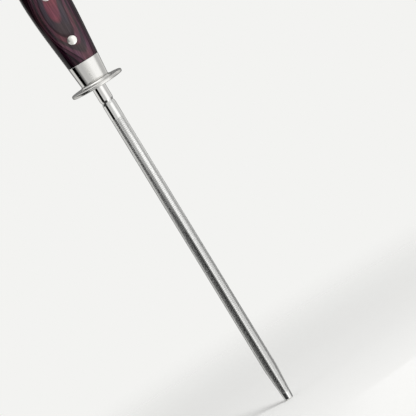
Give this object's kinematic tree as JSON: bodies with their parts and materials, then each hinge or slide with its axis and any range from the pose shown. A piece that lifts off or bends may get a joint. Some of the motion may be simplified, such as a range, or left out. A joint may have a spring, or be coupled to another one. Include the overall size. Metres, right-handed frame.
{
  "type": "knife sharpening steel",
  "caption": "Round ribbed steel rod with a disc guard, full-tang riveted wooden handle and a folding hanging ring, for honing knife edges.",
  "frame": {"origin": "centre of the guard's lower face, on the axis of the rod", "axes": "+Z along the rod's axis towards the end of the handle, so the rod hangs down along -Z; X across the width of the handle; Y through its thickness, with the front scale at -Y"},
  "size_m": [0.0363, 0.0356, 0.354],
  "materials": {
    "rod_steel": "fine lengthwise ribs with a satin sheen",
    "polished_steel": "polished",
    "tang_steel": "satin",
    "laminated_wood": "resin-laminated hardwood veneers in wine red, grey and black, satin lacquer",
    "rivet_steel": "polished",
    "ring_steel": "polished wire"
  },
  "bodies": {
    "steel": {"ribbed_rod": "rod_steel", "collar": "polished_steel", "guard": "polished_steel", "bolster": "polished_steel", "tang": "tang_steel", "scale_front": "laminated_wood", "scale_back": "laminated_wood", "rivet_post_1": "rivet_steel", "rivet_post_2": "rivet_steel", "rivet_post_3": "rivet_steel", "rivet_socket_1": "rivet_steel", "rivet_socket_2": "rivet_steel", "rivet_socket_3": "rivet_steel", "end_cap": "polished_steel", "cap_pin": "rivet_steel"},
    "ring": {"hanging_ring": "ring_steel"}
  },
  "joints": [
    {"name": "ring_swing", "type": "hinge", "parent": "steel", "child": "ring", "pos_m": [0, 0, 0.1198], "axis": [0, -1, 0], "range_deg": [0, 180]}
  ]
}
